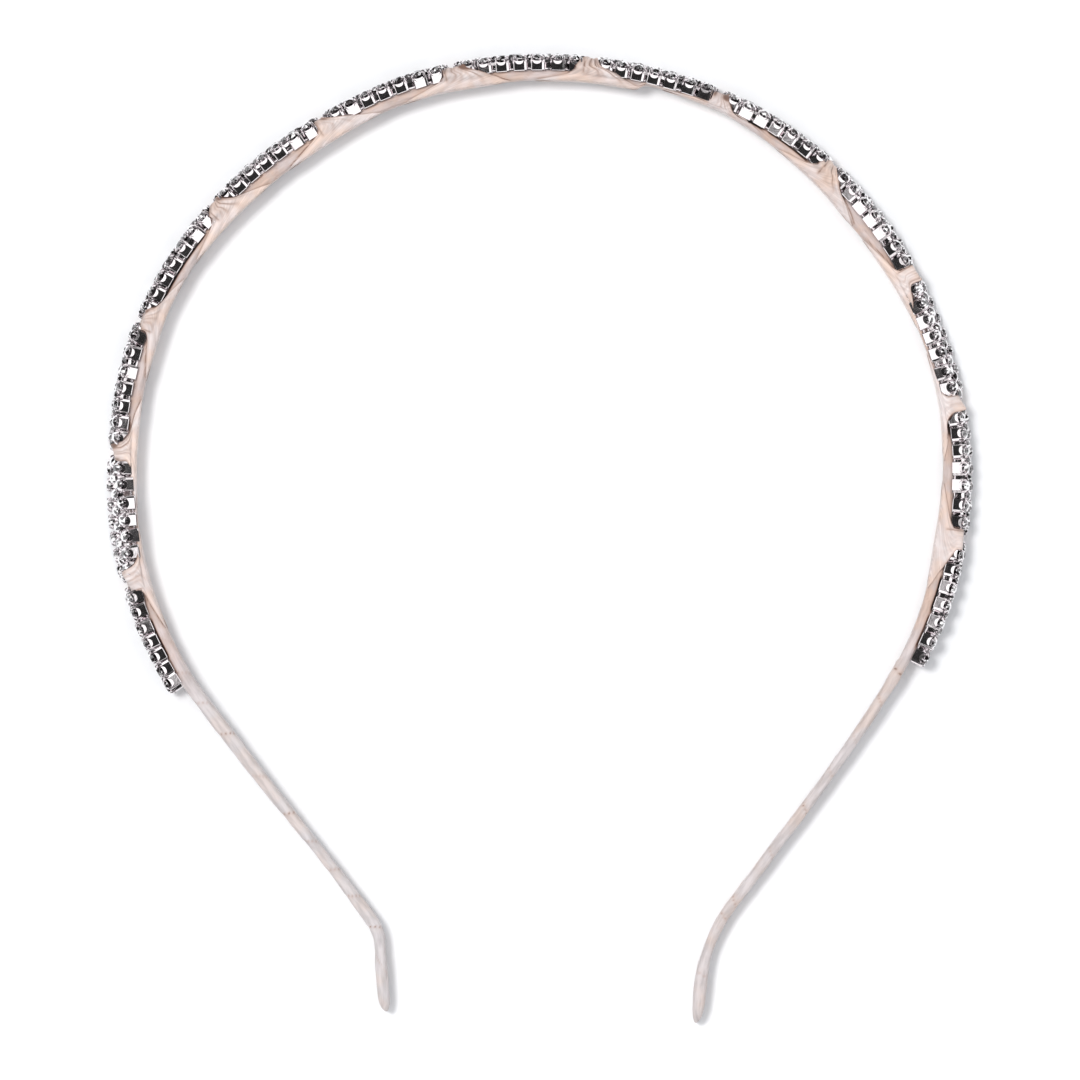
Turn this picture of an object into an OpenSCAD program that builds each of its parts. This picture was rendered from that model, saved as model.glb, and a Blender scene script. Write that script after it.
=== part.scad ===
// Crystal headband, lying on its edge.
// X runs across the head, Y from the tips up to the crown, Z up from the table.
// A place on the band is given by s, the way along the path of its inner face from the
// left tip, n, the distance outward from that path, and b, the distance over the middle line.

/* [Band] */
// Width of the wrapped band over the crown
band_width = 6; // [5.6:0.1:6.2]
// Width of the bare tails
tail_width = 5.5; // [4.8:0.1:6]
// Thickness of the bare tails
tail_thickness = 1.65; // [1.4:0.05:1.9]
// Thickness of the folded tips
tip_thickness = 2.05; // [1.7:0.05:2.3]

/* [Crystal rows] */
// Width of one square cup
cup_width = 2.1; // [1.9:0.05:2.15]
// Height of the cup's lip over its base
cup_height = 1.5; // [1.2:0.05:1.6]
// Height of the crystal's table over the cup's base
crystal_height = 2.15; // [1.9:0.05:2.3]
// Width of the crystal's table
table_width = 1.1; // [0.8:0.05:1.4]
// Distance of the outer rows from the middle row between two crossings
row_spread = 2.9; // [2.7:0.05:3]
// Distance of the outer rows from the middle row under a crossing
row_squeeze = 1.95; // [1.9:0.05:2.1]
// How far the outer rows lean outward from the middle row, in degrees
row_lean = 6.5; // [3:0.5:8]

/* [Crossing wraps] */
// Gap between a wrap and what it is bound over
wrap_gap = 0.12; // [0.1:0.01:0.2]
// Thickness of the wrap where it lies flat
wrap_thickness = 0.22; // [0.2:0.01:0.3]
// Thickness of the wrap where it is squeezed between two crystals
knot_thickness = 0.8; // [0.4:0.05:0.9]

/* [Hidden] */

// Where the path of the inner face starts, at the left tip, and its heading in degrees
START = [-23.04, -73.45, 95.5];

// Stretches of the path from the left tip over the crown to the right tip.
// Columns: length, turn to the left in degrees
PATH = [
    [11, -2.5],
    [5, 36.5],
    [45, -4],
    [26, -29],
    [26, -22],
    [26, -29.5],
    [26, -19],
    [26, -25],
    [26, -21.5],
    [26, -27],
    [26, -22],
    [26, -26],
    [26, -24.5],
    [44, -10],
    [16, 37],
    [4.5, -1],
];

// Where the crown's wider part begins, and where the rows of crystals begin
crown_start = 60.6;
rows_start = 61.2;

// The thirteen swells of crystals, each ending at a crossing or at the end of the rows.
// Columns: where it ends, seat of the crystals over the path, roll toward the viewer in degrees
SWELLS = [
    [78.6, 2.15, 0],
    [98.2, 1.5, 18],
    [118.1, 2.2, 4],
    [138, 2, 2],
    [158.5, 2.4, 3],
    [179.1, 2.15, 0],
    [199.85, 2, 2],
    [219.5, 2.05, 4],
    [239.15, 2.3, 2],
    [258.7, 2.25, 6],
    [279, 1.6, 11],
    [299.05, 1.9, 7],
    [320, 2.2, 2],
];

// Where the inner face leaves the path. The ribbon's inner layer ends near 208.
// Columns: place along the path, distance outward
INNER_FACE = [
    [6, 0],
    [10, 0.1],
    [15.5, 0.27],
    [20, 0.14],
    [25, 0.05],
    [50, 0.05],
    [57, 0.28],
    [62, 0.28],
    [68, 0],
    [116, 0],
    [121, 0.24],
    [137, 0],
    [157, 0],
    [163, 0.25],
    [176, 0.2],
    [182, -0.05],
    [199, 0.3],
    [207.4, 0.3],
    [208.2, 1.3],
    [220, 1.3],
    [222.8, 0.93],
    [226, 0.67],
    [231, 0.35],
    [240, 0],
    [247, -0.35],
    [255, -0.1],
    [263, 0.26],
    [268, 0.45],
    [280, 0.3],
    [287, -0.14],
    [295, -0.35],
    [300, -0.48],
    [304, -0.28],
    [309, 0.07],
    [316, 0.28],
    [325, 0.27],
    [332, 0.05],
    [342, -0.15],
    [352, -0.35],
    [357, -0.3],
    [366, 0.1],
    [374, 0.3],
    [380, 0.15],
];

// The outer face of the bare tails, where the winding ribbon bulges and thins.
// Columns: place along the path, distance beyond the tails' thickness
LEFT_TAIL = [
    [7, 0.45],
    [10.5, 0.27],
    [12.5, 0.55],
    [15.5, 0.75],
    [20, 0.45],
    [24, 0.17],
    [28, 0.08],
    [37, 0.29],
    [42, 0.52],
    [49, 0.67],
    [56, 0.8],
    [61.5, 0.85],
];
RIGHT_TAIL = [
    [320, 0.48],
    [330, 0.22],
    [340, -0.1],
    [352, -0.23],
    [357, -0.13],
    [362, 0.08],
    [370, 0.25],
    [374, 0.37],
    [377, 0.6],
];

// Places of the seven cups of an outer row in a swell, as shares of its length
OUTER_PLACES = [0.118, 0.235, 0.36, 0.487, 0.615, 0.758, 0.882];

// One half of a wrap's loop, from over the middle row to the middle of the inner face.
// Columns: distance over the middle line, share of the band's thickness, height over that,
// offset along the path, half width, thickness as a share of the way from flat to squeezed
WRAP_LOOP = [
    [0, 1, 1.15, 0, 0.2, 1],
    [1.3, 1, 1, 0.03, 0.22, 0.6],
    [2.2, 1, 0.78, 0.2, 0.7, 0.2],
    [3.25, 1, -0.34, 0.15, 0.66, 0],
    [3.27, 0.5, 0, 1.15, 1.5, 0],
    [3.25, 0.1, 0, 2.7, 2.7, 0],
    [2.7, 0, -0.25, 3.2, 2.8, 0],
    [0, 0, -0.25, 0, 2.6, 0],
];

band_gap = 0.26;
plate_height = 0.3;
plate_width = cup_width + 0.14;
middle_margin = 1.36;
last_margin = 2.2;
hold = [0.35, 0.65];
plate_reach = 0.056;
bar_width = 0.8;
bar_reach = 0.063;
corner_radius = 0.5;
swell_easing = 0.6;
crown_step = 3.1;
tail_step = 4.5;
lean_reach = 2.4;

path_length = total(PATH, len(PATH) - 1);
swell_count = len(SWELLS);
rows_end = SWELLS[swell_count - 1][0];
outer_lean = row_lean * row_spread / lean_reach;
lip_height = cup_height + plate_height / 2;
middle_height = row_spread + cup_width / 2 * cos(outer_lean) + lip_height * sin(outer_lean);

function wrap_name(i) = str("ribbon_wrap_", i < 10 ? "0" : "", i);
function total(table, last) = last < 0 ? 0 : table[last][0] + total(table, last - 1);

// The path: one step along an arc, the place at the start of each stretch, and any place

function along_arc(place, way, bend) = let (h = place[2], g = h + bend * way, r = 180 / PI / bend)
    [place[0] + r * (sin(g) - sin(h)), place[1] - r * (cos(g) - cos(h)), g];
function bend_of(i) = PATH[i][1] / PATH[i][0];
stretch_starts = [
    for (i = 0, p = START; i < len(PATH); p = along_arc(p, PATH[i][0], bend_of(i)), i = i + 1) p];
stretch_ways = [for (i = [0:len(PATH) - 1]) total(PATH, i - 1)];
function stretch_of(s) = max(0, len([for (w = stretch_ways) if (w <= s) w]) - 1);
function path_place(s) = let (i = stretch_of(s))
    along_arc(stretch_starts[i], s - stretch_ways[i], bend_of(i));

// Sizes that change along the band, read from the tables

function swell_from(i) = i == 0 ? rows_start : SWELLS[i - 1][0];
function swell_to(i) = SWELLS[i][0];
function swell_place(i, share) = swell_from(i) + share * (swell_to(i) - swell_from(i));
function swell_values(column) = [
    for (i = [0:swell_count - 1]) for (share = hold) [swell_place(i, share), SWELLS[i][column]]];

function tail_seats(table) = [for (row = table) [row[0], tail_thickness + row[1]]];

SEATS = concat(
    [[0, tip_thickness * 0.5], [1.5, tip_thickness]],
    tail_seats(LEFT_TAIL),
    swell_values(1),
    tail_seats(RIGHT_TAIL),
    [[path_length - 5, tip_thickness * 1.16], [path_length - 1.5, tip_thickness]],
    [[path_length, tip_thickness * 0.5]]);
ROLLS = concat([[crown_start, 0]], swell_values(2), [[rows_end, 0]]);
WIDTHS = [
    [0, tail_width * 0.5], [1, tail_width * 0.8], [3, tail_width], [50, tail_width], [60, band_width],
    [322, band_width], [332, tail_width], [path_length - 8, tail_width], [path_length, tail_width * 0.3]];
HEIGHTS = [
    [0, tail_width / 2], [15, tail_width / 2], [crown_start, middle_height],
    [rows_end, middle_height], [path_length - 15, tail_width / 2], [path_length, tail_width / 2]];

function inner_face(s) = lookup(s, INNER_FACE);
function outer_face(s, b) = lookup(s, SEATS) - b * tan(lookup(s, ROLLS));

// A point in space from its place along, out of and across the band

function out_of(h) = [-sin(h), cos(h), 0];
function point_at(s, n, b) = let (p = path_place(s))
    [p[0], p[1], lookup(s, HEIGHTS) + b] + n * out_of(p[2]);

// Faces of a closed solid swept through rings of points, with flat ends

function side_faces(here, next, sides) = [
    for (j = [0:sides - 1]) let (k = (j + 1) % sides)
        each [[here + j, here + k, next + k], [here + j, next + k, next + j]]];

function swept_faces(rings, sides) = concat(
    [[for (j = [sides - 1:-1:0]) j]],
    [for (i = [0:rings - 2]) each side_faces(i * sides, (i + 1) * sides, sides)],
    [[for (j = [0:sides - 1]) (rings - 1) * sides + j]]);

module swept(rings) {
    polyhedron(
        points = [for (ring = rings) for (p = ring) p],
        faces = swept_faces(len(rings), len(rings[0])),
        convexity = 10);
}

// The wrapped band, one solid from tip to tip

function band_ring(s) = let (
    half = lookup(s, WIDTHS) / 2,
    inside = inner_face(s),
    near = outer_face(s, half) - band_gap,
    far = outer_face(s, -half) - band_gap,
    near_r = min(corner_radius, (near - inside) * 0.4),
    far_r = min(corner_radius, (far - inside) * 0.4))
    [
        point_at(s, inside, -half + far_r),
        point_at(s, inside, half - near_r),
        point_at(s, inside + near_r, half),
        point_at(s, near - near_r, half),
        point_at(s, near, half - near_r),
        point_at(s, far, -half + far_r),
        point_at(s, far - far_r, -half),
        point_at(s, inside + far_r, -half),
    ];

band_stations = concat(
    [0, 0.5, 1.5, 3],
    [for (s = [7:tail_step:crown_start - 2]) s],
    [for (s = [crown_start:crown_step:rows_end]) s],
    [for (s = [rows_end + 2:tail_step:path_length - 4]) s],
    [path_length - 3, path_length - 1.2, path_length]);

module wrapped_band() {
    color("#E8D6CC") swept([for (s = band_stations) band_ring(s)]);
}

// A row of crystals: side is 1 for the near row, 0 for the middle row and -1 for the far row

function swell_of(s) = min(swell_count - 1, len([for (g = SWELLS) if (g[0] <= s) g]));
function bow(s) = let (i = swell_of(s), u = (s - swell_from(i)) / (swell_to(i) - swell_from(i)))
    pow(max(0, sin(180 * u)), swell_easing);
function row_across(s, side) = side * (row_squeeze + (row_spread - row_squeeze) * bow(s));

// Axes of a cup or a piece of its plate: along the row, across it and out of the band
function row_axes(s, side) = let (
    h = path_place(s)[2],
    b = row_across(s, side),
    tilt = lookup(s, ROLLS) + row_lean * b / lean_reach,
    slope = (row_across(s + 0.1, side) - row_across(s - 0.1, side)) / 0.2,
    turn = atan(max(-0.5, min(0.5, slope))),
    ahead = [cos(h), sin(h), 0],
    out = out_of(h) * cos(tilt) + [0, 0, sin(tilt)],
    up = [0, 0, cos(tilt)] - out_of(h) * sin(tilt))
    [ahead * cos(turn) + up * sin(turn), ahead * sin(turn) - up * cos(turn), out];
function row_point(s, side) = let (b = row_across(s, side)) point_at(s, outer_face(s, b), b);

function cup_places(i, side) =
    side != 0 ? OUTER_PLACES :
    let (
        last = i == 0 ? 6 : 7,
        length = swell_to(i) - swell_from(i),
        first_share = middle_margin / length,
        last_share = 1 - (i == swell_count - 1 ? last_margin : middle_margin) / length)
    [for (k = [0:last]) first_share + k * (last_share - first_share) / last];

// Places and widths of the plate that the cups stand on, in one swell
function plate_stations(i, side) = let (places = cup_places(i, side), last = len(places) - 1) concat(
    side == 0 ? [] : [[places[0] - bar_reach, bar_width]],
    [[places[0] - plate_reach, plate_width]],
    [for (k = [1:2:last]) [(places[k - 1] + places[k]) / 2, plate_width]],
    [[places[last] + plate_reach, plate_width]],
    side == 0 ? [] : [[places[last] + bar_reach, bar_width]]);

function plate_ring(s, side, width) = let (p = row_point(s, side), axes = row_axes(s, side)) [
    for (c = [[-1, 0], [-1, 1], [1, 1], [1, 0]])
        p + axes[1] * c[0] * width / 2 + axes[2] * c[1] * plate_height];

// Claws and cup hold the stone so closely that cup and stone are one form
module crystal() {
    hull() {
        linear_extrude(cup_height) square(cup_width, center = true);
        linear_extrude(crystal_height) rotate(22.5) circle(d = table_width / cos(22.5), $fn = 8);
    }
}

module placed(s, side) {
    p = row_point(s, side);
    a = row_axes(s, side);
    multmatrix([for (i = [0:2]) [a[0][i], a[1][i], a[2][i], p[i] + a[2][i] * plate_height / 2]]) children();
}

module crystal_row(side) {
    swept([
        for (i = [0:swell_count - 1]) for (station = plate_stations(i, side))
            plate_ring(swell_place(i, station[0]), side, station[1])]);
    for (i = [0:swell_count - 1], share = cup_places(i, side))
        placed(swell_place(i, share), side) crystal();
}

module near_crystal_row() {
    color("#DCE3EA") crystal_row(1);
}

module middle_crystal_row() {
    color("#C9D2DC") crystal_row(0);
}

module far_crystal_row() {
    color("#B6C1CE") crystal_row(-1);
}

// A crossing wrap: a closed loop of ribbon round the band and the three rows

function mirrored(row) = [-row[0], row[1], row[2], -row[3], row[4], row[5]];
full_loop = concat(WRAP_LOOP, [for (k = [len(WRAP_LOOP) - 2:-1:1]) mirrored(WRAP_LOOP[k])]);

function loop_out(s, row) = let (inside = inner_face(s))
    inside + row[1] * (outer_face(s, row[0]) - inside) + row[2];
function loop_section(s, k) = let (row = full_loop[k]) [row[0], loop_out(s, row)];

function wrap_ring(crossing, k) = let (
    count = len(full_loop),
    row = full_loop[k],
    here = crossing + row[3],
    step = loop_section(here, (k + 1) % count) - loop_section(here, (k + count - 1) % count),
    side = [-step[1], step[0]] / norm(step),
    thickness = wrap_thickness + row[5] * (knot_thickness - wrap_thickness))
    [
        for (c = [[-1, 0], [-1, 1], [1, 1], [1, 0]])
            let (s = here + c[0] * row[4], way = wrap_gap + c[1] * thickness)
            point_at(s, loop_out(s, row) + side[1] * way, row[0] + side[0] * way)
    ];

function closed_faces(rings, sides) = [
    for (i = [0:rings - 1]) each side_faces(i * sides, (i + 1) % rings * sides, sides)];

module ribbon_wrap(i) {
    rings = [for (k = [0:len(full_loop) - 1]) wrap_ring(SWELLS[i - 1][0], k)];
    color("#E2CFC6") polyhedron(
        points = [for (ring = rings) for (p = ring) p],
        faces = closed_faces(len(rings), 4),
        convexity = 10);
}

wrapped_band();
near_crystal_row();
middle_crystal_row();
far_crystal_row();
for (i = [1:12]) ribbon_wrap(i);
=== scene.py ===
"""Crystal headband: the looks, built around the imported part.

Shapes are worked out in millimetres and scaled to metres when a mesh is made.
A place on the band is given by s, the way along the path of its inner face from the
left tip, n, the distance outward from that path, and b, the distance over the middle line.
"""

import math

import bpy
import numpy as np
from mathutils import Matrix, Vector

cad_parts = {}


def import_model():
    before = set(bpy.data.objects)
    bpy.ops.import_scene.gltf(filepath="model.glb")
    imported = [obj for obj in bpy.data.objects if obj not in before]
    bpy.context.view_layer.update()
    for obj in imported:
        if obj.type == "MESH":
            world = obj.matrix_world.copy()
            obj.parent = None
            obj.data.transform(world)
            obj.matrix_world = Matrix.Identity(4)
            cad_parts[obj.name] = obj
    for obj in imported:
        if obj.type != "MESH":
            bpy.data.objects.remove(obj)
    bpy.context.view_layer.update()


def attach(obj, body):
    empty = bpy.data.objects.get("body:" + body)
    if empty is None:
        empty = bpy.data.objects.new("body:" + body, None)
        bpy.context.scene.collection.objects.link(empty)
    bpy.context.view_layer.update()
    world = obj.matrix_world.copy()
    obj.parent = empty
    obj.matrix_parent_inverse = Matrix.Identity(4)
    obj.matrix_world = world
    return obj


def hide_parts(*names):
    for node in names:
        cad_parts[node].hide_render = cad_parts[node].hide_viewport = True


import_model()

MM = 0.001
SEED = 11

# The part's own sizes, as in its source

START = (-23.04, -73.45, 95.5)

# Columns: length, turn to the left in degrees
PATH = [
    (11, -2.5), (5, 36.5), (45, -4),
    (26, -29), (26, -22), (26, -29.5), (26, -19), (26, -25),
    (26, -21.5), (26, -27), (26, -22), (26, -26), (26, -24.5),
    (44, -10), (16, 37), (4.5, -1),
]

CROWN_START = 60.6
ROWS_START = 61.2

# Columns: where the swell ends, seat of the crystals, roll toward the viewer in degrees,
# tones of the near cups' walls: Black, White, Grey, Shaded
SWELLS = [
    (78.6, 2.15, 0, "GBBBSBB"),
    (98.2, 1.5, 18, "SSBWWBB"),
    (118.1, 2.2, 4, "SSBBWBB"),
    (138, 2, 2, "BBBBBWW"),
    (158.5, 2.4, 3, "SBBBBWW"),
    (179.1, 2.15, 0, "SWBBBWW"),
    (199.85, 2, 2, "BSBBBBB"),
    (219.5, 2.05, 4, "SBBBBBB"),
    (239.15, 2.3, 2, "SWWGGBB"),
    (258.7, 2.25, 6, "SGWWWBB"),
    (279, 1.6, 11, "SBWWWBG"),
    (299.05, 1.9, 7, "SBBWWBB"),
    (320, 2.2, 2, "SBGGGBB"),
]

# Columns: s, distance of the inner face out of it
INNER_FACE = [
    (6, 0), (10, 0.1), (15.5, 0.27), (20, 0.14), (25, 0.05), (50, 0.05), (57, 0.28), (62, 0.28), (68, 0),
    (116, 0), (121, 0.24), (137, 0), (157, 0), (163, 0.25), (176, 0.2), (182, -0.05), (199, 0.3),
    (207.4, 0.3), (208.2, 1.3), (220, 1.3), (222.8, 0.93), (226, 0.67), (231, 0.35), (240, 0),
    (247, -0.35), (255, -0.1), (263, 0.26), (268, 0.45), (280, 0.3), (287, -0.14), (295, -0.35),
    (300, -0.48), (304, -0.28), (309, 0.07), (316, 0.28), (325, 0.27), (332, 0.05), (342, -0.15),
    (352, -0.35), (357, -0.3), (366, 0.1), (374, 0.3), (380, 0.15),
]

# The outer face of the bare tails. Columns: s, distance beyond the tails' thickness
LEFT_TAIL = [
    (7, 0.45), (10.5, 0.27), (12.5, 0.55), (15.5, 0.75), (20, 0.45), (24, 0.17), (28, 0.08), (37, 0.29),
    (42, 0.52), (49, 0.67), (56, 0.8), (61.5, 0.85),
]
RIGHT_TAIL = [
    (320, 0.48), (330, 0.22), (340, -0.1), (352, -0.23), (357, -0.13), (362, 0.08), (370, 0.25), (374, 0.37),
    (377, 0.6),
]

BAND_WIDTH = 6
TAIL_WIDTH = 5.5
TAIL_THICKNESS = 1.65
TIP_THICKNESS = 2.05
ROW_SPREAD = 2.9
ROW_SQUEEZE = 1.95
ROW_LEAN = 6.5
LEAN_REACH = 2.4
OUTER_PLACES = (0.118, 0.235, 0.36, 0.487, 0.615, 0.758, 0.882)
MIDDLE_MARGIN = 1.36
LAST_MARGIN = 2.2
CUP_WIDTH = 2.1
CUP_HEIGHT = 1.5
PLATE_HEIGHT = 0.3
SWELL_EASING = 0.6

# How much further out the inner face lies at the near edge. Columns: s, distance
EDGE_LIFT = [(207.5, 0), (208.6, 0.3), (218, 0.3), (221.5, 0)]

LENGTH = sum(length for length, _ in PATH)
ROWS_END = SWELLS[-1][0]
CROSSINGS = [row[0] for row in SWELLS[:-1]]
SWELL_STARTS = [ROWS_START] + CROSSINGS
OUTER_LEAN = math.radians(ROW_LEAN * ROW_SPREAD / LEAN_REACH)
MIDDLE_HEIGHT = (
    ROW_SPREAD + CUP_WIDTH / 2 * math.cos(OUTER_LEAN) + (CUP_HEIGHT + PLATE_HEIGHT / 2) * math.sin(OUTER_LEAN)
)


def stretch_starts():
    """Place and heading at the start of each stretch of the path, with the way to it."""
    rows = []
    x, y, heading, way = *START[:2], math.radians(START[2]), 0
    for length, turn in PATH:
        bend = math.radians(turn) / length
        rows.append((way, x, y, heading, bend))
        ahead = heading + bend * length
        x += (math.sin(ahead) - math.sin(heading)) / bend
        y -= (math.cos(ahead) - math.cos(heading)) / bend
        heading = ahead
        way += length
    return np.array(rows)


STRETCHES = stretch_starts()


def path_at(s):
    """x, y and heading of the path at each s."""
    s = np.asarray(s, float)
    stretch = np.clip(np.searchsorted(STRETCHES[:, 0], s, "right") - 1, 0, len(PATH) - 1)
    way, x, y, heading, bend = np.moveaxis(STRETCHES[stretch], -1, 0)
    ahead = heading + bend * (s - way)
    x = x + (np.sin(ahead) - np.sin(heading)) / bend
    y = y - (np.cos(ahead) - np.cos(heading)) / bend
    return x, y, ahead


# Sizes that change along the band: tables read onto a fine grid and smoothed

GRID_STEP = 0.1
GRID = np.arange(0, LENGTH + GRID_STEP, GRID_STEP)

# The shares of a swell's length between which it has its own seat and roll
SWELL_MIDDLE = (0.35, 0.65)


def smooth_table(rows, over):
    """A table as a function of s, rounded off over about the length given."""
    places, values = np.array(rows, float).T
    line = np.interp(GRID, places, values)
    reach = int(3 * over / GRID_STEP)
    kernel = np.exp(-0.5 * (np.arange(-reach, reach + 1) * GRID_STEP / over) ** 2)
    line = np.convolve(np.pad(line, reach, "edge"), kernel / kernel.sum(), "valid")
    return lambda s: np.interp(s, GRID, line)


def swell_values(column):
    """Places in the swells with their values in one column of their table."""
    rows = []
    for start, swell in zip(SWELL_STARTS, SWELLS):
        rows += [(start + share * (swell[0] - start), swell[column]) for share in SWELL_MIDDLE]
    return rows


def tail_seats(table):
    """Places on a bare tail with the distance of its outer face."""
    return [(place, TAIL_THICKNESS + beyond) for place, beyond in table]


# Rows of place and size: the outer face at the tips, the width, and the height of the middle line
LEFT_TIP = [(0, TIP_THICKNESS), (1.5, TIP_THICKNESS)]
RIGHT_TIP = [(LENGTH - 5, TIP_THICKNESS * 1.16), (LENGTH - 1.5, TIP_THICKNESS)]
WIDTHS = [(50, TAIL_WIDTH), (60, BAND_WIDTH), (322, BAND_WIDTH), (332, TAIL_WIDTH)]
HEIGHTS = [
    (15, TAIL_WIDTH / 2), (CROWN_START, MIDDLE_HEIGHT),
    (ROWS_END, MIDDLE_HEIGHT), (LENGTH - 15, TAIL_WIDTH / 2),
]
SEATS = LEFT_TIP + tail_seats(LEFT_TAIL) + swell_values(1) + tail_seats(RIGHT_TAIL) + RIGHT_TIP
ROLLS = [(CROWN_START, 0)] + swell_values(2) + [(ROWS_END, 0)]

inner_face = smooth_table(INNER_FACE, over=0.45)
edge_lift = smooth_table(EDGE_LIFT, over=0.4)
seat_of = smooth_table(SEATS, over=0.8)
roll_of = smooth_table(ROLLS, over=0.8)
width_of = smooth_table(WIDTHS, over=1)
height_of = smooth_table(HEIGHTS, over=2)


def outer_face(s, b):
    return seat_of(s) - b * np.tan(np.radians(roll_of(s)))


def point_at(s, n, b):
    """Points in space, in millimetres, from arrays of places along, out of and across the band."""
    s, n, b = np.broadcast_arrays(np.asarray(s, float), n, b)
    x, y, heading = path_at(s)
    return np.stack([x - np.sin(heading) * n, y + np.cos(heading) * n, height_of(s) + b], -1)


# Meshes from arrays of points

ON_TABLE = 0.01


def add_object(name, data):
    piece = bpy.data.objects.new(name, data)
    bpy.context.scene.collection.objects.link(piece)
    return piece


def make_piece(name, points, faces, material, smooth=True, layers=None, uv=None):
    """A mesh object in metres. layers are numbers per point, and uv two coordinates per point."""
    mesh = bpy.data.meshes.new(name)
    mesh.from_pydata((np.asarray(points) * MM).tolist(), [], [list(map(int, f)) for f in faces])
    mesh.validate()
    mesh.polygons.foreach_set("use_smooth", np.full(len(mesh.polygons), smooth))
    for key, values in (layers or {}).items():
        attribute = mesh.attributes.new(key, "FLOAT", "POINT")
        attribute.data.foreach_set("value", np.asarray(values, np.float32).ravel())
    if uv is not None:
        corner = np.zeros(len(mesh.loops), np.int32)
        mesh.loops.foreach_get("vertex_index", corner)
        layer = mesh.uv_layers.new(name="along_and_round")
        layer.data.foreach_set("uv", np.asarray(uv, np.float32)[corner].ravel())
    mesh.materials.append(material)
    mesh.update()
    return add_object(name, mesh)


def pressed(points):
    """Satin flattened where it lies on the table."""
    points[:, 2] = np.maximum(points[:, 2], ON_TABLE)
    return points


def dress(piece, slot, *nodes):
    """Every piece rides on the one body and stands for CAD nodes. Its slot is not used."""
    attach(piece, "root")
    if nodes:
        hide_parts(*nodes)
    return piece


def tube_faces(rings, sides):
    """Quads of an open tube of rings, each closed on itself."""
    i, j = np.meshgrid(np.arange(rings - 1), np.arange(sides), indexing="ij")
    k = (j + 1) % sides
    quads = np.stack([i * sides + j, i * sides + k, (i + 1) * sides + k, (i + 1) * sides + j], -1)
    return quads.reshape(-1, 4)


def bell(x):
    """1 at 0, falling smoothly to nothing on both sides."""
    return np.exp(-(x**2))


def smooth_step(t):
    """From 0 at 0 to 1 at 1, level at both ends."""
    return t * t * (3 - 2 * t)


def slanted_waves(rng, count, shortest, longest):
    """A smooth random function of s and the way round, from a few slanted waves."""
    # Columns: length, slant, start and height of a wave
    least, most = (shortest, -0.8, 0, 0.5), (longest, 0.8, 2 * math.pi, 1)
    waves = rng.uniform(least, most, (count, len(most)))

    def value(s, way):
        parts = (
            height * np.sin(2 * math.pi * (s / length + slant * way / length) + start)
            for length, slant, start, height in waves
        )
        return sum(parts) / sum(waves[:, 3])

    return value


# Materials


def new_material(name):
    material = bpy.data.materials.new(name)
    material.use_nodes = True
    return material, material.node_tree, material.node_tree.nodes["Principled BSDF"]


def set_sockets(tree, node, sockets):
    """Constants go straight on a node's sockets, and other nodes' outputs are linked to them."""
    for key, value in sockets.items():
        if isinstance(value, bpy.types.NodeSocket):
            tree.links.new(value, node.inputs[key])
        else:
            node.inputs[key].default_value = value


def add_node(tree, kind, sockets=None, **settings):
    node = tree.nodes.new("ShaderNode" + kind)
    for key, value in settings.items():
        setattr(node, key, value)
    set_sockets(tree, node, sockets or {})
    return node


def noise(tree, coords, scale, detail=3, roughness=0.55):
    sockets = {"Vector": coords, "Scale": scale, "Detail": detail, "Roughness": roughness}
    return add_node(tree, "TexNoise", sockets).outputs["Fac"]


def ramp(tree, fac, stops):
    node = add_node(tree, "ValToRGB", {"Fac": fac})
    elements = node.color_ramp.elements
    while len(elements) < len(stops):
        elements.new(0.5)
    for element, (place, colour) in zip(elements, stops):
        element.position = place
        element.color = (*colour, 1)
    return node.outputs["Color"]


def mix_colour(tree, fac, a, b, blend="MIX"):
    """Two colours mixed: sockets 6 and 7 of the node, and its third output."""
    a, b = ((*colour, 1) if isinstance(colour, tuple) else colour for colour in (a, b))
    sockets = {"Factor": fac, 6: a, 7: b}
    return add_node(tree, "Mix", sockets, data_type="RGBA", blend_type=blend).outputs[2]


def arithmetic(tree, kind, a, b=0, c=0, clamp=False):
    return add_node(tree, "Math", {0: a, 1: b, 2: c}, operation=kind, use_clamp=clamp).outputs[0]


def stretched(tree, coords, scale):
    return add_node(tree, "Mapping", {"Vector": coords, "Scale": scale}).outputs["Vector"]


def space_in_mm(tree):
    return stretched(tree, add_node(tree, "TexCoord").outputs["Object"], (1000,) * 3)


def mesh_number(tree, name):
    """One of the numbers that a mesh carries on its points or faces."""
    return add_node(tree, "Attribute", attribute_name=name).outputs["Fac"]


def bumped(tree, height, strength, distance):
    """A normal for fine relief, with its distance in millimetres."""
    sockets = {"Height": height, "Strength": strength, "Distance": distance * MM}
    return add_node(tree, "Bump", sockets).outputs["Normal"]


# Satin in three tones each, from cool to warm: on the bare tails, round the crown, on the crossings
TAIL_TONES = [(0.7, 0.65, 0.645), (0.69, 0.63, 0.615), (0.71, 0.62, 0.585)]
CROWN_TONES = [(0.68, 0.58, 0.555), (0.64, 0.515, 0.47), (0.68, 0.505, 0.42)]
WRAP_TONES = [(0.96, 0.87, 0.84), (0.93, 0.79, 0.735), (0.94, 0.75, 0.65)]
TONE_PLACES = (0.38, 0.5, 0.62)
PATCH_SCALE = 0.22

# Streaks of painted shade along the threads, as of fine wrinkles: stretch of their pattern, and where in it
# they are dim and bright
STREAK_STRETCH = (0.25, 1.4, 1)
STREAK_DIM, STREAK_BRIGHT = 0.34, 0.6

# Colours of the painted shade that darkens creases and gaps, from brown to near black as it deepens, with the
# factor and the offset of their share
CREASE_SHADE_TONES = [
    ((0.45, 0.29, 0.22), 0.85, 0),
    ((0.13, 0.065, 0.045), 1.6, -0.8),
    ((0.012, 0.009, 0.009), 2.2, -2.2),
]

THREAD_STRETCH = (0.15, 1, 1)
THREADS = {"Scale": 9, "Distortion": 1.2, "Detail": 2}
THREAD_RELIEF = 0.12
WRINKLE_STRETCH = (0.9, 2.2, 1)
WRINKLE_SCALE = 1.3


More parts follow.
